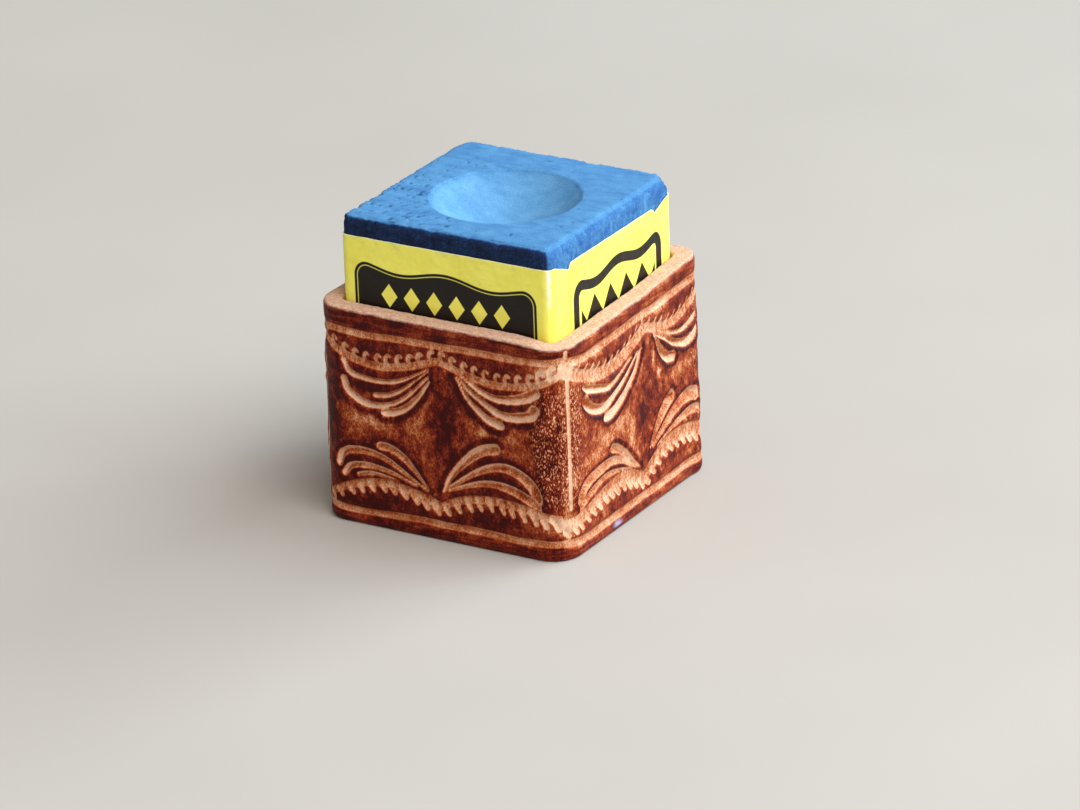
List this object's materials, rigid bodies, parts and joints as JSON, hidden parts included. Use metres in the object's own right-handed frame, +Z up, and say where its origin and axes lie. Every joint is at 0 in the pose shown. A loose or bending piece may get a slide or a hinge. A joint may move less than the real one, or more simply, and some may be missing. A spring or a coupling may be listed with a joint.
{
  "type": "cue chalk cube in a leather holder",
  "caption": "Cube of billiard cue chalk with a printed paper label, lifting out of a square tooled-leather sleeve with a magnet in its base.",
  "frame": {"origin": "centre of the holder's base, on the surface it stands on", "axes": "+Z up, out through the chalk's cupped top; -Y and +X are the two faces seen in the picture; the sleeve's laced seam is in the middle of the +Y side"},
  "size_m": [0.0268, 0.0275, 0.0297],
  "materials": {
    "tooled_leather": "satin",
    "plain_leather": "matte",
    "waxed_thread": "matte",
    "nickel_plating": "satin",
    "chalk": "matte",
    "label_paper": "satin"
  },
  "bodies": {
    "holder": {"sleeve": "tooled_leather", "seam_thread": "waxed_thread", "floor_pad": "plain_leather", "magnet_spacer": "plain_leather", "magnet": "nickel_plating", "magnet_cover": "plain_leather"},
    "chalk": {"chalk_block": "chalk", "paper_label": "label_paper"}
  },
  "joints": [
    {"name": "chalk_lift", "type": "slide", "parent": "holder", "child": "chalk", "axis": [0, 0, 1], "range_m": [0, 0.02]}
  ]
}
